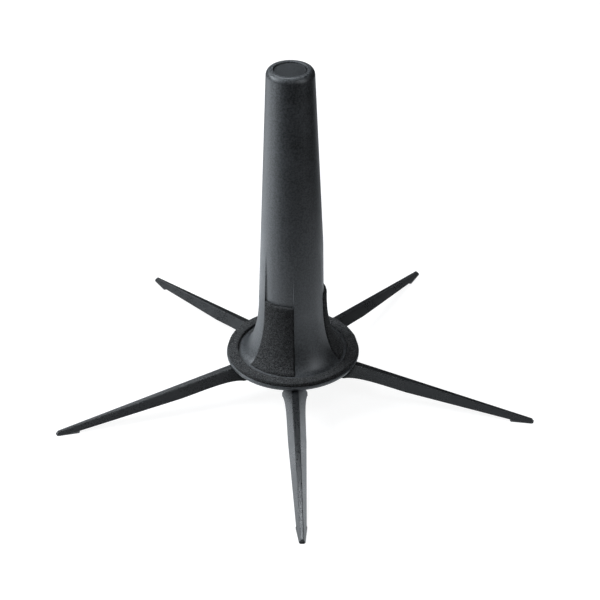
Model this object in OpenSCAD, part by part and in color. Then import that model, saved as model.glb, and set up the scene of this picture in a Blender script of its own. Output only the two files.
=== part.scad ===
// Folding trumpet stand. A hollow tapered peg with a felted flange stands inside the bell.
// It plugs over a hub that carries five hinged legs. With the peg lifted off, the legs fold
// up beside each other into a pentagonal bundle that stores inside the hollow peg.
// Millimetres, +Z up. The origin is on the stand's axis at floor level; the front leg points to -Y.

/* [Peg] */
// Height of the whole stand
stand_h = 194; // [188:1:200]
// Radius of the peg just below its rounded top edge
peg_top_r = 12.5; // [12:0.1:13]
// Radius of the peg where its foot starts to flare
peg_low_r = 18.2; // [18:0.1:18.6]
// Height where the flare starts
flare_z = 58; // [56:0.5:62]
// Width of the rounding on the top edge
rim_w = 2.7; // [1.5:0.1:2.8]
// Height of the rounding on the top edge
rim_h = 3.3; // [1.5:0.1:3.6]
// Radius of the hollow at the bottom of the peg
bore_low_r = 15; // [14.5:0.1:15.2]
// Radius of the hollow at the top of the peg
bore_top_r = 10.4; // [9.8:0.1:10.6]

/* [Flange] */
// Outer radius of the flange that the bell's rim rests on
flange_r = 36.5; // [35.5:0.5:40]
// Height of the flange's underside
flange_z = 22; // [22:0.1:22.4]
// Thickness of the flange
flange_t = 2; // [1.8:0.1:2.4]
// How far the lip round the flange's edge hangs below its underside
lip_h = 0.9; // [0:0.1:1]
// Radius where the flare runs out into the flange
flare_foot_r = 30; // [29.8:0.1:30.6]
// Radius of the socket that plugs over the hub
socket_r = 20.05; // [20.02:0.01:20.1]

/* [Felt] */
// Thickness of the felt ring on the flange
ring_t = 2.2; // [1.5:0.1:3]
// Number of felt pads round the flare
pad_count = 3; // [3:1:3]
// Direction of the first pad, in degrees from +X
pad_turn = 1.8; // [0:0.1:20]
// Angle that one pad and its pocket take up
pad_arc = 57; // [40:1:70]
// Height of the pads' top edge
pad_top_z = 62; // [61:0.5:64]
// Height where the pocket above each pad runs out
pocket_top_z = 92; // [84:1:98]
// Radius of the pocket's floor behind a pad's top edge
pocket_r = 17; // [16.4:0.1:17.1]
// How far a pad stands proud of the flare
pad_proud = 0.4; // [0.3:0.05:1]

/* [Legs] */
// Number of legs
leg_count = 5; // [5:1:5]
// Radius of the circle that the leg tips stand on
reach = 135; // [132:1:140]
// Half width of the flat strip along a leg's top, at the root
strip_root_hw = 1.85; // [1.6:0.05:2.1]
// Half width of the same strip at the tip
strip_tip_hw = 0.6; // [0.4:0.05:0.8]
// Half width of the neck that enters the hub
neck_hw = 3.4; // [3.2:0.05:3.45]
// Largest half width of a leg, at its shoulder
shoulder_hw = 6.9; // [6:0.1:6.9]

/* [Hub] */
// Radius of the hub where it fills the peg's socket
hub_r = 20; // [20:0.01:20]
// Radius of a hinge pin
pin_r = 1.5; // [1.4:0.05:1.6]
// Distance of each hinge pin from the stand's axis
hinge_x = 12; // [12:0.05:12.1]
// Height of the hinge pins
hinge_z = 17.5; // [17.5:0.05:17.55]

/* [Hidden] */
$fn = 96;

flange_top = flange_z + flange_t;
rim_z = stand_h - rim_h;
edge = 0.4;              // small chamfers
curve_steps = 22;        // segments along each curved stretch of a profile
lip_w = 1.6;
edge_round = 0.8;        // rounding of the flange's upper edge
felt_seat_z = flange_top - 0.8;

// The plug's seat in the peg's top end
seat_r = 8.6;
seat_z = stand_h - 4;
ledge_r = 7.6;
ledge_z = stand_h - 7;
bore_z = 45;             // the hollow is straight below this and tapers above it
socket_top = 29;

// Pocket and pad profile
pocket_foot_r = 28.6;
pocket_foot_z = flange_top - 0.2;
pad_toe_r = 28;
pad_side_gap = 0.35;     // degrees of gap between a pad's side and its pocket
toe_gap = 0.1;           // gap between a pad's lower end and its pocket

// Leg profile, in the plane through the stand's axis
root_x = 26.9;           // inner end of the leg's wide part
strip_x = 37.8;
strip_z = 20;
strip_slope = 10.45;     // degrees that the strip falls towards the tip
root_top_z = 21.2;       // the wide part's top stays below the flange
flank_angle = 35;        // under half of a fifth of a turn, so that five folded legs fit in a circle
under_z = 13.8;
belly = [[31, 13.8], [38, 15.4], [53, 11.9], [66, 9.6]];
rib_h = 0.35;            // height of the raised strip above the flanks' top edges
heel_hw = 4.4;           // half width of the wide part's inner end, before its corners are cut
heel_l = 1.6;            // length of the cut corners
foot_x = 123;
foot_step_z = 1.3;
toe_x = 130;
toe_z = 0.6;

// Feet
foot_root_hw = 2.95;
foot_tip_hw = 1.65;
foot_corner = 0.7;       // cut corners

// Hinges and hub
eye_r = 3.7;
eye_clear = 0.05;
pin_hl = 6;
pin_clear = 0.02;
slot_hw = neck_hw + 0.25;
slot_x = 6.8;
hub_z = 13.3;
hub_top = 28.8;
skirt_r = 22;
skirt_top = flange_z - 0.05;
well_r = 11;
well_z = 23;
saddle_top = hinge_z - pin_r;

// Cover and screw
cover_r = 19.5;
cover_z = 10.8;
screw_r = 1.5;
screw_top = 21.5;
head_r = 2.9;
head_z = cover_z + 0.15;
head_top = cover_z + 1.6;

function leg_angle(k) = -90 + k * 360 / leg_count;
function pad_angle(k) = pad_turn + k * 360 / pad_count;
function strip_height(x) = strip_z - (x - strip_x) * tan(strip_slope);
function cone_r(z) = peg_low_r + (peg_top_r - peg_low_r) * (z - flare_z) / (rim_z - flare_z);

// Points of a quarter ellipse that starts upright at its top and runs out level at its foot
function flare_curve(foot_r, top_r, top_z, foot_z, t0, t1) = [
    for (i = [0 : curve_steps])
        let (t = t0 + (t1 - t0) * i / curve_steps)
        [foot_r - (foot_r - top_r) * cos(t), top_z - (top_z - foot_z) * sin(t)]
];

// Points of the rounded top edge, from the peg's side to its top
function rim_curve() = [
    for (i = [0 : 10])
        [peg_top_r - rim_w * (1 - cos(9 * i)), rim_z + rim_h * sin(9 * i)]
];

// Points of the flange's rounded upper edge, from its side to the felt's seat
function rounded_edge() = [
    for (i = [0 : 6])
        [flange_r - edge_round * (1 - cos(15 * i)), felt_seat_z - edge_round * (1 - sin(15 * i))]
];

// A cubic curve through four control points
function bezier(p, t) =
    pow(1 - t, 3) * p[0] + 3 * t * pow(1 - t, 2) * p[1] + 3 * t * t * (1 - t) * p[2] + pow(t, 3) * p[3];

// The pocket's floor, which is also a pad's back, from the flange up to the pad's top edge
function pocket_floor() =
    let (toe_t = acos((pocket_foot_r - pad_toe_r) / (pocket_foot_r - pocket_r)))
    flare_curve(pocket_foot_r, pocket_r, pad_top_z, pocket_foot_z, toe_t, 0);

// ---- Peg and what is fixed to it ----

module pocket_cutter() {
    // The floor line runs on past the surface, so that the pocket fades out near pocket_top_z
    lift = 2;
    outer_r = pad_toe_r + toe_gap;
    top_r = cone_r(pocket_top_z);
    rise = (top_r - pocket_r) / (pocket_top_z - pad_top_z);
    rotate_extrude(angle = pad_arc)
        polygon(concat(
            [[outer_r, pocket_floor()[0][1]]],
            pocket_floor(),
            [[top_r + rise * lift, pocket_top_z + lift]],
            [[outer_r, pocket_top_z + lift]]
        ));
}

module peg() {
    color("#2c2d2f")
    difference() {
        rotate_extrude()
            polygon(concat(
                [[socket_r + edge, flange_z]],
                [[flange_r - lip_w - edge, flange_z]],
                [[flange_r - lip_w, flange_z - lip_h]],
                [[flange_r - edge, flange_z - lip_h]],
                [[flange_r, flange_z - lip_h + edge]],
                rounded_edge(),
                [[flare_foot_r, felt_seat_z]],
                flare_curve(flare_foot_r, peg_low_r, flare_z, flange_top, 90, 0),
                rim_curve(),
                [[seat_r, stand_h]],
                [[seat_r, seat_z]],
                [[ledge_r, seat_z]],
                [[ledge_r, ledge_z]],
                [[bore_top_r, ledge_z]],
                [[bore_low_r, bore_z]],
                [[bore_low_r, socket_top]],
                [[socket_r, socket_top]],
                [[socket_r, flange_z + edge]]
            ));
        for (k = [0 : pad_count - 1])
            rotate([0, 0, pad_angle(k) - pad_arc / 2])
                pocket_cutter();
    }
}

module top_plug() {
    lip_r = ledge_r + 0.5;
    stem_r = ledge_r - 0.1;
    cap_top = stand_h - 0.6;
    color("#252628")
    rotate_extrude()
        polygon([
            [0, cap_top],
            [seat_r - 0.15 - edge, cap_top],
            [seat_r - 0.15, cap_top - edge],
            [seat_r - 0.15, seat_z],
            [stem_r, seat_z],
            [stem_r, ledge_z - 0.1],
            [lip_r, ledge_z - 0.1],
            [lip_r, ledge_z - 1],
            [stem_r - 0.6, ledge_z - 2.6],
            [stem_r - 2, ledge_z - 2.6],
            [stem_r - 2, seat_z],
            [0, seat_z]
        ]);
}

module felt_ring() {
    outer_r = flange_r - 0.7;
    ring_top = felt_seat_z + ring_t;
    color("#151515")
    rotate_extrude()
        polygon([
            [flare_foot_r, felt_seat_z],
            [outer_r, felt_seat_z],
            [outer_r, ring_top - edge],
            [outer_r - edge, ring_top],
            [flare_foot_r + edge, ring_top],
            [flare_foot_r, ring_top - edge]
        ]);
}

// One felt pad: it fills its pocket up to pad_top_z and follows the flare down to the flange
module felt_pad(k) {
    face_r = peg_low_r + pad_proud;
    face_foot_z = flange_top + 0.8;
    toe_t = acos((flare_foot_r - pad_toe_r) / (flare_foot_r - face_r));
    color("#151515")
    rotate([0, 0, pad_angle(k) - pad_arc / 2 + pad_side_gap])
        rotate_extrude(angle = pad_arc - 2 * pad_side_gap)
            polygon(concat(
                pocket_floor(),
                [[face_r - 1, pad_top_z]],
                [[face_r - 0.25, pad_top_z - 0.8]],
                flare_curve(flare_foot_r, face_r, flare_z, face_foot_z, 0, toe_t)
            ));
}

module felt_pad_right() felt_pad(0);
module felt_pad_rear() felt_pad(1);
module felt_pad_front() felt_pad(2);

// ---- Hub ----

// Everything that repeats once for each leg, turned to its direction
module at_leg(k) {
    rotate([0, 0, leg_angle(k)])
        children();
}

module pin_bore(r, half_length) {
    translate([hinge_x, 0, hinge_z])
        rotate([90, 0, 0])
            cylinder(r = r, h = 2 * half_length, center = true);
}

module leg_hub() {
    channel_w = 2 * (pin_r + pin_clear);
    channel_l = 2 * pin_hl + 0.2;
    color("#1f2022")
    difference() {
        union() {
            translate([0, 0, hub_z])
                cylinder(r = hub_r, h = hub_top - hub_z);
            translate([0, 0, hub_z])
                cylinder(r = skirt_r, h = skirt_top - hub_z);
        }
        translate([0, 0, well_z])
            cylinder(r = well_r, h = hub_top);
        translate([0, 0, hub_z - 1])
            cylinder(r = screw_r + pin_clear, h = screw_top - hub_z + 1.5);
        for (k = [0 : leg_count - 1])
            at_leg(k) {
                translate([slot_x, -slot_hw, hub_z - 1])
                    cube([hub_r, 2 * slot_hw, hub_top]);
                pin_bore(pin_r + pin_clear, channel_l / 2);
                translate([hinge_x - channel_w / 2, -channel_l / 2, hub_z - 1])
                    cube([channel_w, channel_l, hinge_z - hub_z + 1]);
            }
    }
}

// The cover closes the hub from below; its saddles hold the pins up in their channels
module hub_cover() {
    saddle_hw = pin_r - 0.1;
    saddle_y = slot_hw + 0.1;
    color("#1f2022")
    difference() {
        union() {
            rotate_extrude()
                polygon([
                    [0, cover_z],
                    [cover_r - 1, cover_z],
                    [cover_r, cover_z + 1],
                    [cover_r, hub_z],
                    [0, hub_z]
                ]);
            for (k = [0 : leg_count - 1])
                at_leg(k)
                    for (side = [-1, 1])
                        translate([hinge_x - saddle_hw, side > 0 ? saddle_y : -pin_hl, hub_z - 0.5])
                            cube([2 * saddle_hw, pin_hl - saddle_y, saddle_top - hub_z + 0.5]);
        }
        translate([0, 0, cover_z - 1])
            cylinder(r = head_r + 0.2, h = head_top - cover_z + 1);
        translate([0, 0, cover_z - 1])
            cylinder(r = screw_r + 0.1, h = hub_z);
    }
}

module cover_screw() {
    recess_w = 0.9;
    recess_l = 3.4;
    recess_d = 0.9;
    color("#8d9094")
    difference() {
        union() {
            rotate_extrude()
                polygon([
                    [0, head_z],
                    [head_r - 0.5, head_z],
                    [head_r, head_z + 0.5],
                    [head_r, head_top],
                    [0, head_top]
                ]);
            translate([0, 0, head_top - 0.1])
                cylinder(r = screw_r, h = screw_top - head_top);
        }
        for (turn = [0, 90])
            rotate([0, 0, turn])
                translate([-recess_l / 2, -recess_w / 2, head_z - 1])
                    cube([recess_l, recess_w, recess_d + 1]);
    }
}

module hinge_pin(k) {
    color("#a9adb2")
    at_leg(k)
        pin_bore(pin_r, pin_hl);
}

module hinge_pin_front() hinge_pin(0);
module hinge_pin_right() hinge_pin(1);
module hinge_pin_rear_right() hinge_pin(2);
module hinge_pin_rear_left() hinge_pin(3);
module hinge_pin_left() hinge_pin(4);

// ---- Legs ----

module side_profile(points, depth) {
    rotate([90, 0, 0])
        linear_extrude(height = depth, center = true)
            polygon(points);
}

// All that lies on the leg's side of a long plane through the strip's edge, leaning out by an angle
module flank(side, lean) {
    taper = atan((strip_root_hw - strip_tip_hw) / (reach - root_x));
    big = 200;
    mirror([0, side < 0 ? 1 : 0, 0])
        translate([root_x, strip_root_hw, strip_height(root_x)])
            rotate([0, strip_slope, 0])
                rotate([0, 0, -taper])
                    rotate([lean, 0, 0])
                        translate([-big / 4, -big, -big / 2])
                            cube(big);
}

// Where the sloping top edge, lowered by drop, comes down to the root's level top
function strip_start_x(drop) = strip_x + (strip_z - drop - root_top_z) / tan(strip_slope);

// The leg's outline from the side, with its top edge lowered by drop
function blade_outline(drop) = concat(
    [[root_x, root_top_z]],
    [[strip_start_x(drop), root_top_z]],
    [[reach - 0.5, strip_height(reach - 0.5) - drop]],
    [[reach, strip_height(reach) - 0.5 - drop]],
    [[reach, toe_z]],
    [[toe_x, toe_z]],
    [[foot_x, foot_step_z]],
    [for (i = [curve_steps : -1 : 0]) bezier(belly, i / curve_steps)],
    [[root_x, under_z]]
);

module leg_blade() {
    intersection() {
        side_profile(blade_outline(rib_h), 2 * shoulder_hw);
        flank(1, flank_angle);
        flank(-1, flank_angle);
        linear_extrude(height = 2 * strip_z)
            polygon([
                [root_x, -heel_hw],
                [root_x + heel_l, -shoulder_hw],
                [reach, -shoulder_hw],
                [reach, shoulder_hw],
                [root_x + heel_l, shoulder_hw],
                [root_x, heel_hw]
            ]);
    }
    // The raised strip along the top
    intersection() {
        side_profile(blade_outline(0), 2 * shoulder_hw);
        flank(1, 0);
        flank(-1, 0);
    }
}

module leg(k) {
    color("#26272a")
    at_leg(k)
        difference() {
            union() {
                leg_blade();
                translate([hinge_x, -neck_hw, hinge_z - eye_r])
                    cube([root_x - hinge_x, 2 * neck_hw, 2 * eye_r]);
                pin_bore(eye_r, neck_hw);
            }
            pin_bore(pin_r + eye_clear, neck_hw + 1);
        }
}

module leg_front() leg(0);
module leg_right() leg(1);
module leg_rear_right() leg(2);
module leg_rear_left() leg(3);
module leg_left() leg(4);

// A rubber wedge under the tip: its top lies against the leg, its sides stand a little proud
module foot(k) {
    tip_x = reach + 0.6;
    color("#1b1b1b")
    at_leg(k)
        intersection() {
            side_profile([
                [foot_x, 0],
                [tip_x, 0],
                [tip_x, toe_z],
                [toe_x, toe_z],
                [foot_x, foot_step_z]
            ], 20);
            linear_extrude(height = 10)
                polygon([
                    [foot_x, foot_corner - foot_root_hw],
                    [foot_x + foot_corner, -foot_root_hw],
                    [tip_x - foot_corner, -foot_tip_hw],
                    [tip_x, foot_corner - foot_tip_hw],
                    [tip_x, foot_tip_hw - foot_corner],
                    [tip_x - foot_corner, foot_tip_hw],
                    [foot_x + foot_corner, foot_root_hw],
                    [foot_x, foot_root_hw - foot_corner]
                ]);
        }
}

module foot_front() foot(0);
module foot_right() foot(1);
module foot_rear_right() foot(2);
module foot_rear_left() foot(3);
module foot_left() foot(4);

peg();
top_plug();
felt_ring();
felt_pad_right();
felt_pad_rear();
felt_pad_front();
leg_hub();
hub_cover();
cover_screw();
leg_front();
leg_right();
leg_rear_right();
leg_rear_left();
leg_left();
hinge_pin_front();
hinge_pin_right();
hinge_pin_rear_right();
hinge_pin_rear_left();
hinge_pin_left();
foot_front();
foot_right();
foot_rear_right();
foot_rear_left();
foot_left();
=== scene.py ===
"""Looks for a folding trumpet stand: grained plastic, pressed felt, satin legs and a pale studio."""

import math

import bpy
import numpy as np
from mathutils import Matrix, Quaternion, Vector, noise


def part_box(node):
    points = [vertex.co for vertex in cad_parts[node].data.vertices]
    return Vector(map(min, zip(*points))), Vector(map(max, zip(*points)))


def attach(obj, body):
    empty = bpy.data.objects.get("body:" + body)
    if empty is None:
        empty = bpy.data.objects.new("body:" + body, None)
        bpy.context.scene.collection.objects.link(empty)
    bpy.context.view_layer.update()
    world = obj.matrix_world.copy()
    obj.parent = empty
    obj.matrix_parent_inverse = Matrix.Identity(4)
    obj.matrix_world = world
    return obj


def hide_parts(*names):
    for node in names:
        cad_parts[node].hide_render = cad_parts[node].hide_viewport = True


MM = 0.001
LEGS = ("front", "right", "rear_right", "rear_left", "left")

# The camera, in a frame that is turned by VIEW_TURN against the model's
VIEW_TURN = math.radians(-1.9)
CAMERA_AT = Vector((4.1, -804.9, 589.0)) * MM
CAMERA_TARGET = Vector((4.1, 0.0, 55.5)) * MM
CAMERA_ROLL = math.radians(-0.35)
LENS_MM = 106.8
SENSOR_MM = 36.0

# The felt pads: which way each looks and half of what each spans, in degrees
PAD_TURNS = {"right": 1.8, "rear": 121.8, "front": 241.8}
PAD_HALF_ARC = 28.5

# The felt pads' ends, and the curves of their backs and faces, in millimetres
PAD_TOE_R = 28.0
PAD_TOP_Z = 62.0
PAD_BACK_FOOT_R = 28.6
PAD_BACK_FOOT_Z = 23.8
PAD_BACK_TOP_R = 17.0
PAD_FACE_FOOT_R = 30.0
PAD_FACE_FOOT_Z = 24.8
PAD_FACE_TOP_R = 18.6
PAD_FACE_TOP_Z = 58.0
CURVE_POINTS = 60

# The room that a pad leaves in its pocket, in millimetres
PAD_SIDE_GAP_MM = 0.12
PAD_END_GAP_MM = 0.1
PAD_BACK_GAP_MM = 0.05

# How wide a pad's soft edge is, and the share of its thickness that is left at the very edge
PAD_EDGE_MM = 0.6
PAD_EDGE_SHARE = 0.42

# The felt ring, in millimetres: its bore, the rounding of its upper edges, about half of its
# section's width and height, and the height above its foot from which its nap stands out in full
RING_INNER_R = 30.1
RING_EDGE_MM = 0.6
RING_EDGE_STEPS = 8
RING_HALF_SECTION = (3.2, 1.1)
RING_HELD_MM = 0.8

# The felt's mesh, how far its face stands out, and the fine and broad waves in it. The shift gives
# the pads other waves than the ring's
FELT_STEP_MM = 0.36
FELT_ROUGH_MM = 0.14
NAP_FINE_PER_MM = 0.9
NAP_BROAD_PER_MM = 0.16
NAP_BROAD_SHARE = 0.9
PAD_NAP_SHIFT_MM = 40

# The felt's fibres: thickness and length, and the turns of the layers that lie across each other
FIBRE_THICK_MM = 0.26
FIBRE_LONG_MM = 1.9
FIBRE_TURNS = ((0.3, 0.2, 0.4), (1.2, 0.7, 2.2), (0.5, 1.9, 1.2), (2.3, 1.1, 0.3))

# What rounds the CAD pieces' edges: the join of close points, and the angles of flat and sharp edges
WELD_MM = 0.002
FLAT_ANGLE = math.radians(0.4)
SHARP_ANGLE = math.radians(32)

# How far the plastics' greys lean towards blue, and the colour of the lights
COOL = 0.07
LIGHT_TINT = (0.94, 1.0, 1.06)

# What the lights are turned to, in metres
LIGHTS_AIM = (0, 0, 0.08)

# The studio's floor and the sheet that lights the gloss from below
FLOOR_HALF_M = 8.0
FLOOR_SINK_MM = 0.1
GLOW_HALF_M = 0.9
GLOW_SINK_MM = 0.3

# Pools of light and shade on that sheet: centre, radius where each starts to fade and where it ends,
# in metres, and strength
GLOW_POOLS = (
    ((0.0, 0.0, 0.0), 0.10, 0.23, 2.2),
    ((-0.42, 0.06, 0.0), 0.15, 0.40, 3.6),
    ((0.20, 0.30, 0.0), 0.05, 0.20, 1.0),
    ((0.055, 0.046, 0.0), 0.020, 0.052, -2.1),
    ((-0.055, 0.046, 0.0), 0.020, 0.052, -2.1),
)


# ---- Small helpers ----


class Surface:
    """A new material, with short calls that add nodes to it and join them."""

    def __init__(self, name, **values):
        self.material = bpy.data.materials.new(name)
        self.material.use_nodes = True
        self.tree = self.material.node_tree
        self.shader = self.tree.nodes["Principled BSDF"]
        for socket, value in values.items():
            self.shader.inputs[socket.replace("_", " ")].default_value = value

    def add(self, kind, inputs=None, **settings):
        node = self.tree.nodes.new("ShaderNode" + kind)
        for key, value in settings.items():
            setattr(node, key, value)
        for socket, value in (inputs or {}).items():
            self.set(node.inputs[socket], value)
        return node

    def set(self, socket, value):
        """Joins a node's first output, or an output socket, or sets a plain value."""
        if isinstance(value, bpy.types.Node):
            value = value.outputs[0]
        if isinstance(value, bpy.types.NodeSocket):
            self.tree.links.new(value, socket)
        else:
            socket.default_value = value

    def into(self, socket, value):
        self.set(self.shader.inputs[socket], value)

    def noise(self, size_mm, detail=3.0, roughness=0.55, turn=(0, 0, 0)):
        """Noise whose features are about size_mm across. Three sizes stretch it, after the turn."""
        sizes = size_mm if isinstance(size_mm, tuple) else (size_mm,) * 3
        per_metre = tuple(1 / size / MM for size in sizes)
        where = self.add("TexCoord")
        rotated = self.add("Mapping", {"Vector": where.outputs["Object"], "Rotation": turn})
        scaled = self.add("Mapping", {"Vector": rotated, "Scale": per_metre})
        inputs = {"Vector": scaled, "Scale": 1.0, "Detail": detail, "Roughness": roughness}
        return self.add("TexNoise", inputs)

    def range(self, value, low, high, to_low=0.0, to_high=1.0):
        inputs = {
            "Value": value,
            "From Min": low,
            "From Max": high,
            "To Min": to_low,
            "To Max": to_high,
        }
        return self.add("MapRange", inputs)

    def math(self, operation, first, second):
        node = self.add("Math", operation=operation)
        self.set(node.inputs[0], first)
        self.set(node.inputs[1], second)
        return node

    def blend(self, first, first_share, second, second_share):
        """The sum of two values, each taken at its share."""
        parts = self.math("MULTIPLY", first, first_share), self.math("MULTIPLY", second, second_share)
        return self.math("ADD", *parts)

    def mix(self, factor, first, second):
        """Mixes two colours."""
        node = self.add("Mix", data_type="RGBA")
        self.set(node.inputs["Factor"], factor)
        self.set(node.inputs["A"], first)
        self.set(node.inputs["B"], second)
        return node.outputs["Result"]

    def bump(self, height, depth_mm, under=None):
        """Relief of a depth, on top of another bump if there is one."""
        node = self.add("Bump", {"Height": height, "Distance": depth_mm * MM, "Strength": 1.0})
        if under is not None:
            self.set(node.inputs["Normal"], under)
        return node


def grey(level, tint=0.0):
    """A grey, a little bluer where tint is above 0."""
    return (level * (1 - tint), level, level * (1 + tint), 1.0)


# ---- Materials ----


def grained_plastic(name, *, level, grain_mm, depth_mm, roughness, mottle=0.5, shine=0.5):
    """Moulded plastic: a spark-eroded grain, faint mottling and slightly uneven gloss."""
    s = Surface(name, IOR=1.46, Specular_IOR_Level=shine)
    grain = s.noise(grain_mm, detail=2.0, roughness=0.6)
    speck = s.noise(grain_mm * 3.0, detail=2.0, roughness=0.7)
    cloud = s.noise(14.0, detail=3.0)
    flecks = s.range(speck, 0.38, 0.62)
    clouds = s.range(cloud, 0.35, 0.65)
    shade = s.blend(flecks, 0.7, clouds, 0.3)
    dark, light = grey(level * (1 - mottle), COOL), grey(level * (1 + mottle), COOL)
    s.into("Base Color", s.mix(shade, dark, light))
    dullness = s.blend(clouds, 0.4, flecks, 0.6)
    s.into("Roughness", s.range(dullness, 0.0, 1.0, roughness - 0.07, roughness + 0.07))
    pits = s.bump(grain, depth_mm)
    s.into("Normal", s.bump(speck, depth_mm * 1.4, under=pits))
    return s.material


def felt(name, level):
    """Pressed wool felt: short fibres lying in every direction. Its colour follows its bumps: painted
    shade darkens the hollows, and a painted sheen makes the tufts and the fibres on top paler.
    """
    s = Surface(name, Roughness=1.0, IOR=1.3, Sheen_Weight=0.10, Sheen_Roughness=0.6)
    s.shader.inputs["Sheen Tint"].default_value = grey(0.75)
    fibres = None
    for turn in FIBRE_TURNS:
        layer = s.noise((FIBRE_LONG_MM, FIBRE_THICK_MM, FIBRE_THICK_MM), detail=1.0, turn=turn)
        fibres = layer if fibres is None else s.math("MAXIMUM", fibres, layer)
    tufts = s.noise(1.0, detail=2.0, roughness=0.75)
    clouds = s.noise(9.0, detail=2.0)
    ground = s.mix(s.range(clouds, 0.3, 0.7), grey(level * 0.75), grey(level * 1.15))
    # Painted shade: where the tufts are low, the felt's colour is darkened nearly to black.
    hollows_painted_shade = s.mix(0.9, ground, grey(0.0))
    # Painted sheen: the tufts that the bump below raises are paler.
    tufts_painted_sheen = s.mix(s.range(tufts, 0.43, 0.60), hollows_painted_shade, grey(level * 3.2, 0.03))
    # Painted sheen: the fibres, which the bump below also raises, are paler still.
    s.into("Base Color", s.mix(s.range(fibres, 0.60, 0.76), tufts_painted_sheen, grey(level * 13.5)))
    fibre_relief = s.bump(fibres, 0.20)
    s.into("Normal", s.bump(tufts, 0.40, under=fibre_relief))
    return s.material


def steel(name):
    """Turned steel with fine tool lines."""
    s = Surface(name, Metallic=1.0)
    lines = s.noise((8.0, 8.0, 0.12), detail=2.0)
    stain = s.noise(3.0, detail=3.0)
    s.into("Base Color", s.mix(s.range(stain, 0.3, 0.7), grey(0.42), grey(0.56)))
    s.into("Roughness", s.range(lines, 0.3, 0.7, 0.26, 0.40))
    s.into("Normal", s.bump(lines, 0.006))
    return s.material


def rubber(name, level):
    """Moulded rubber: dull, with a fine bloom of dust."""
    s = Surface(name, IOR=1.5)
    grain = s.noise(0.3, detail=2.0)
    bloom = s.noise(2.2, detail=4.0, roughness=0.65)
    dusty = s.range(bloom, 0.45, 0.75)
    s.into("Base Color", s.mix(dusty, grey(level), grey(level * 1.8, 0.03)))
    s.into("Roughness", s.range(bloom, 0.3, 0.7, 0.56, 0.7))
    s.into("Normal", s.bump(grain, 0.02))
    return s.material


# ---- CAD pieces ----


def paint(node, material):
    """Gives a CAD node its material."""
    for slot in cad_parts[node].material_slots:
        slot.material = material


def soften(node, width_mm, clamp=True):
    """Rounds a CAD node's sharp edges with modifiers, which leave its mesh as it is."""
    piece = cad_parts[node]
    weld = piece.modifiers.new("weld", "WELD")
    weld.merge_threshold = WELD_MM * MM
    flat = piece.modifiers.new("flat", "DECIMATE")
    flat.decimate_type = "DISSOLVE"
    flat.angle_limit = FLAT_ANGLE
    bevel = piece.modifiers.new("bevel", "BEVEL")
    bevel.limit_method = "ANGLE"
    bevel.angle_limit = SHARP_ANGLE
    bevel.width = width_mm * MM
    bevel.segments = 2
    bevel.use_clamp_overlap = clamp
    normals = piece.modifiers.new("normals", "WEIGHTED_NORMAL")
    normals.keep_sharp = False
    normals.weight = 80


# ---- Felt pieces ----


def distances(points):
    """How far along a line each of its points is."""
    lengths = np.linalg.norm(np.diff(points, axis=0), axis=1)
    return np.concatenate([[0.0], np.cumsum(lengths)])


def spread(points, count):
    """A number of points at even steps along a line through points."""
    points = np.array(points, float)
    along = distances(points)
    at = np.linspace(0, along[-1], count)
    return np.stack([np.interp(at, along, points[:, k]) for k in range(2)], axis=1)


def resample(points, step):
    """Points at steps of about one size along a line through points."""
    length = distances(np.array(points, float))[-1]
    return spread(points, max(2, round(length / step) + 1))


def turned(r, z, turn):
    """The point at a radius and a height, turned about the stand's axis."""
    return (r * math.cos(turn), r * math.sin(turn), z)


def nap(point_mm):
    """How far a pressed felt surface stands out at a point, in millimetres."""
    fine = noise.fractal(Vector(point_mm) * NAP_FINE_PER_MM, 0.9, 2.0, 3)
    broad = noise.noise(Vector(point_mm) * NAP_BROAD_PER_MM)
    return FELT_ROUGH_MM * (fine + NAP_BROAD_SHARE * broad)


def add_mesh(name, points_mm, faces):
    mesh = bpy.data.meshes.new(name)
    mesh.from_pydata([tuple(p * MM for p in point) for point in points_mm], [], faces)
    mesh.validate()
    for polygon in mesh.polygons:
        polygon.use_smooth = True
    piece = bpy.data.objects.new(name, mesh)
    bpy.context.scene.collection.objects.link(piece)
    return piece


def ring_section(low_r, high_r, low_z, high_z):
    """The ring's closed section, with its upper edges rounded, anticlockwise from its inner foot."""
    edge = RING_EDGE_MM
    arcs = []
    for centre_r, start in ((high_r - edge, 0), (low_r + edge, 90)):
        for k in range(RING_EDGE_STEPS + 1):
            turn = math.radians(start + 90 * k / RING_EDGE_STEPS)
            across, up = edge * math.cos(turn), edge * math.sin(turn)
            arcs.append((centre_r + across, high_z - edge + up))
    return [(low_r, low_z), (high_r, low_z), *arcs, (low_r, low_z)]


def felt_ring():
    """The felt washer: its section carried round, with a rough face above its flat foot."""
    low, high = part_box("felt_ring")
    low_z, high_z = low.z / MM, high.z / MM
    outer_r = high.x / MM
    section = resample(ring_section(RING_INNER_R, outer_r, low_z, high_z), FELT_STEP_MM)[:-1]
    middle = np.array([(RING_INNER_R + outer_r) / 2, (low_z + high_z) / 2])
    around = round(2 * math.pi * outer_r / FELT_STEP_MM)
    points = []
    for k in range(around):
        turn = 2 * math.pi * k / around
        for r, z in section:
            out = (np.array([r, z]) - middle) / np.array(RING_HALF_SECTION)
            out /= max(np.linalg.norm(out), 1e-6)
            held = min(1.0, (z - low_z) / RING_HELD_MM)
            lift = nap(turned(r, z, turn)) * held
            points.append(turned(r + out[0] * lift, z + out[1] * lift, turn))
    n = len(section)
    faces = []
    for k in range(around):
        a, b = k * n, (k + 1) % around * n
        for j in range(n):
            j2 = (j + 1) % n
            faces.append((a + j, b + j, b + j2, a + j2))
    return add_mesh("felt_washer", points, faces)


def flare_curve(foot_r, top_r, top_z, foot_z):
    """The flare's quarter ellipse, from its top out to just short of the pads' toes."""
    end_r = PAD_TOE_R - PAD_END_GAP_MM
    end = math.acos((foot_r - end_r) / (foot_r - top_r))
    turns = np.linspace(0, end, CURVE_POINTS)
    r = foot_r - (foot_r - top_r) * np.cos(turns)
    z = top_z - (top_z - foot_z) * np.sin(turns)
    return list(zip(r, z))


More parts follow.
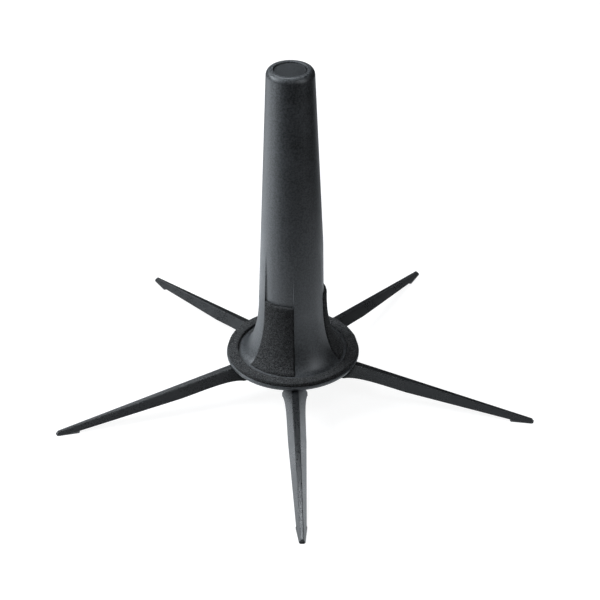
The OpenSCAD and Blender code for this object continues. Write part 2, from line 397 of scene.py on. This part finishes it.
def pad_lines():
    """A pad's face and back, from its top to its toe, with the same number of points."""
    top_z = PAD_TOP_Z - PAD_END_GAP_MM
    face = [(PAD_FACE_TOP_R, top_z)]
    face += flare_curve(PAD_FACE_FOOT_R, PAD_FACE_TOP_R, PAD_FACE_TOP_Z, PAD_FACE_FOOT_Z)
    back = flare_curve(PAD_BACK_FOOT_R, PAD_BACK_TOP_R, top_z, PAD_BACK_FOOT_Z + PAD_BACK_GAP_MM)
    face = resample(face, FELT_STEP_MM)
    return face, spread(back, len(face))


def edge_rise(distance):
    """How much of a pad's thickness is there, at a distance from its edge."""
    d = min(1.0, max(0.0, distance / PAD_EDGE_MM))
    return PAD_EDGE_SHARE + (1 - PAD_EDGE_SHARE) * math.sqrt(1 - (1 - d) ** 2)


def sheet_faces(rows, count):
    """Faces of two sheets of rows times count points, joined round their rim."""
    shift = rows * count
    faces = []
    for i in range(rows - 1):
        for j in range(count - 1):
            a = i * count + j
            b = a + count
            faces.append((a, b, b + 1, a + 1))
            faces.append((shift + a, shift + a + 1, shift + b + 1, shift + b))
    last = count - 1
    rim = list(range(count))
    rim += [i * count + last for i in range(1, rows)]
    rim += [(rows - 1) * count + j for j in range(last - 1, -1, -1)]
    rim += [i * count for i in range(rows - 2, 0, -1)]
    for k, a in enumerate(rim):
        b = rim[(k + 1) % len(rim)]
        faces.append((a, b, shift + b, shift + a))
    return faces


def felt_pad(name):
    """A pad that fills its pocket and follows the flare, with soft edges and a rough face."""
    face, back = pad_lines()
    along = distances(face)
    half_arc = math.radians(PAD_HALF_ARC)
    columns = round(half_arc * (PAD_FACE_TOP_R + PAD_TOE_R) / FELT_STEP_MM)
    front_points, back_points = [], []
    for i, (face_r, _) in enumerate(face):
        end_gap = min(along[i], along[-1] - along[i])
        thick = face[i] - back[i]
        outward = thick / np.linalg.norm(thick)
        side_gap = math.degrees(PAD_SIDE_GAP_MM / face_r)
        for j in range(columns + 1):
            across = 2 * j / columns - 1
            turn = math.radians(PAD_TURNS[name] + across * (PAD_HALF_ARC - side_gap))
            from_side = (1 - abs(across)) * half_arc * face_r
            r, z = back[i] + thick * edge_rise(end_gap) * edge_rise(from_side)
            x, y, _ = turned(r, z, turn)
            lift = nap((x + PAD_NAP_SHIFT_MM, y, z))
            front_points.append(turned(r + outward[0] * lift, z + outward[1] * lift, turn))
            r, z = back[i] + outward * PAD_BACK_GAP_MM
            back_points.append(turned(r, z, turn))
    faces = sheet_faces(len(face), columns + 1)
    return add_mesh(f"felt_patch_{name}", front_points + back_points, faces)


# ---- Studio ----


def add_camera():
    turn = Matrix.Rotation(VIEW_TURN, 3, "Z")
    at, target = turn @ CAMERA_AT, turn @ CAMERA_TARGET
    camera = bpy.data.objects.new("camera", bpy.data.cameras.new("camera"))
    camera.data.lens = LENS_MM
    camera.data.sensor_width = SENSOR_MM
    camera.data.clip_start = 0.01
    camera.location = at
    camera.rotation_mode = "QUATERNION"
    looking = (target - at).to_track_quat("-Z", "Y")
    camera.rotation_quaternion = looking @ Quaternion((0, 0, 1), CAMERA_ROLL)
    bpy.context.scene.collection.objects.link(camera)
    bpy.context.scene.camera = camera


def add_softbox(name, at, size, power, diffuse=True, glossy=True):
    """A rectangular light, in metres and watts, turned to LIGHTS_AIM. It doesn't show itself."""
    light = bpy.data.lights.new(name, "AREA")
    light.shape = "RECTANGLE"
    light.size, light.size_y = size
    light.energy = power
    light.color = LIGHT_TINT
    lamp = bpy.data.objects.new(name, light)
    lamp.location = at
    lamp.rotation_mode = "QUATERNION"
    lamp.rotation_quaternion = (Vector(LIGHTS_AIM) - Vector(at)).to_track_quat("-Z", "Y")
    lamp.visible_camera = False
    lamp.visible_diffuse = diffuse
    lamp.visible_glossy = glossy
    bpy.context.scene.collection.objects.link(lamp)


def add_lights():
    """A key from the left, weak fills round it, and small lights that only the gloss shows."""
    add_softbox("key", (-0.84, 0.06, 0.66), (0.6, 0.35), 9.2)
    add_softbox("low", (-0.80, -0.12, 0.42), (0.2, 0.2), 2.2, diffuse=False)
    add_softbox("rim", (-0.64, 0.19, 0.69), (0.22, 0.22), 2.2, diffuse=False)
    add_softbox("top", (-0.30, 0.20, 0.88), (0.36, 0.24), 2.5, glossy=False)
    add_softbox("strip", (-0.09, 0.285, 0.80), (0.40, 0.16), 3.0, diffuse=False)
    add_softbox("back", (-0.45, 1.00, 0.85), (0.3, 0.25), 0.9)
    add_softbox("front", (0.05, -0.42, 0.95), (1.0, 0.3), 2.0, glossy=False)
    add_softbox("eye", (-0.08, -0.88, 0.72), (0.5, 0.3), 0.65, diffuse=False)
    add_softbox("right", (0.64, -0.48, 0.72), (0.3, 0.25), 2.7, diffuse=False)
    add_softbox("right_low", (0.72, -0.50, 0.32), (0.3, 0.2), 1.9, diffuse=False)


def add_world():
    """A pale surround that lights the stand only weakly."""
    world = bpy.data.worlds.new("studio")
    bpy.context.scene.world = world
    world.use_nodes = True
    tree = world.node_tree
    tree.nodes.clear()
    shown = tree.nodes.new("ShaderNodeBackground")
    shown.inputs["Color"].default_value = (1, 1, 1, 1)
    fill = tree.nodes.new("ShaderNodeBackground")
    fill.inputs["Color"].default_value = (0.96, 0.98, 1.0, 1)
    fill.inputs["Strength"].default_value = 0.05
    path = tree.nodes.new("ShaderNodeLightPath")
    mix = tree.nodes.new("ShaderNodeMixShader")
    out = tree.nodes.new("ShaderNodeOutputWorld")
    tree.links.new(path.outputs["Is Camera Ray"], mix.inputs["Fac"])
    tree.links.new(fill.outputs[0], mix.inputs[1])
    tree.links.new(shown.outputs[0], mix.inputs[2])
    tree.links.new(mix.outputs[0], out.inputs["Surface"])


def add_sheet(name, half, sink_mm, material):
    """A level square sheet just under the feet."""
    mesh = bpy.data.meshes.new(name)
    corners = [(-half, -half, 0), (half, -half, 0), (half, half, 0), (-half, half, 0)]
    mesh.from_pydata(corners, [], [(0, 1, 2, 3)])
    mesh.materials.append(material)
    sheet = bpy.data.objects.new(name, mesh)
    sheet.location.z = -sink_mm * MM
    bpy.context.scene.collection.objects.link(sheet)
    return sheet


def add_floor():
    """A plain pale floor, which shows and takes shadows. What it throws back up comes from add_glow."""
    s = Surface("pale_floor", Roughness=0.9)
    s.shader.inputs["Base Color"].default_value = grey(0.25)
    s.shader.inputs["Emission Color"].default_value = grey(1.0)
    s.shader.inputs["Emission Strength"].default_value = 0.90
    floor = add_sheet("floor", FLOOR_HALF_M, FLOOR_SINK_MM, s.material)
    floor.visible_diffuse = False
    floor.visible_glossy = False


def add_glow():
    """The light that the floor throws back up into the gloss. It doesn't show itself."""
    s = Surface("floor_glow", Roughness=1.0, Specular_IOR_Level=0.0)
    s.shader.inputs["Base Color"].default_value = grey(0.0)
    s.shader.inputs["Emission Color"].default_value = (*LIGHT_TINT, 1.0)
    where = s.add("TexCoord")
    pools = None
    for centre, inner, outer, strength in GLOW_POOLS:
        away = s.add("VectorMath", {0: where.outputs["Object"], 1: centre}, operation="DISTANCE")
        pool = s.range(away.outputs["Value"], inner, outer, strength, 0.0)
        pools = pool if pools is None else s.math("ADD", pools, pool)
    s.into("Emission Strength", pools)
    glow = add_sheet("glow", GLOW_HALF_M, GLOW_SINK_MM, s.material)
    glow.visible_camera = False
    glow.visible_diffuse = False
    glow.visible_shadow = False


# ---- The scene ----

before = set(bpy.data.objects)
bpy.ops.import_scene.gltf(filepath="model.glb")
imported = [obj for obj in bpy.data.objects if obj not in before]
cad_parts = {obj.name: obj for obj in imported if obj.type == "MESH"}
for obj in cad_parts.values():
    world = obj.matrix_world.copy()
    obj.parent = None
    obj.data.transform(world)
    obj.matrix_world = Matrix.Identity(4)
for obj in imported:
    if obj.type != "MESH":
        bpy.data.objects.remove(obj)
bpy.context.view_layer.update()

peg_plastic = grained_plastic(
    "peg_grained", level=0.045, grain_mm=0.32, depth_mm=0.035, roughness=0.46, mottle=0.7
)
plug_plastic = grained_plastic(
    "plug_grained", level=0.024, grain_mm=0.25, depth_mm=0.03, roughness=0.55, shine=0.25
)
leg_plastic = grained_plastic(
    "leg_satin", level=0.012, grain_mm=0.30, depth_mm=0.014, roughness=0.31, mottle=0.2, shine=0.68
)
hub_plastic = grained_plastic("hub_grained", level=0.028, grain_mm=0.30, depth_mm=0.03, roughness=0.5)
felt_black = felt("felt_black", level=0.0110)
foot_rubber = rubber("foot_rubber_dull", level=0.014)
pin_steel = steel("pin_steel")

paint("peg", peg_plastic)
paint("top_plug", plug_plastic)
paint("leg_hub", hub_plastic)
paint("hub_cover", hub_plastic)
paint("cover_screw", pin_steel)
soften("peg", width_mm=0.42, clamp=False)
soften("top_plug", width_mm=0.15)
soften("leg_hub", width_mm=0.2)
soften("hub_cover", width_mm=0.2)
for leg in LEGS:
    paint(f"leg_{leg}", leg_plastic)
    paint(f"foot_{leg}", foot_rubber)
    paint(f"hinge_pin_{leg}", pin_steel)
    soften(f"leg_{leg}", width_mm=0.09, clamp=False)
    soften(f"foot_{leg}", width_mm=0.15)

washer = felt_ring()
washer.data.materials.append(felt_black)
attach(washer, "peg")
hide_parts("felt_ring")
for side in PAD_TURNS:
    patch = felt_pad(side)
    patch.data.materials.append(felt_black)
    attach(patch, "peg")
    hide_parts(f"felt_pad_{side}")

add_camera()
add_lights()
add_world()
add_floor()
add_glow()
bpy.context.scene.view_settings.view_transform = "Standard"
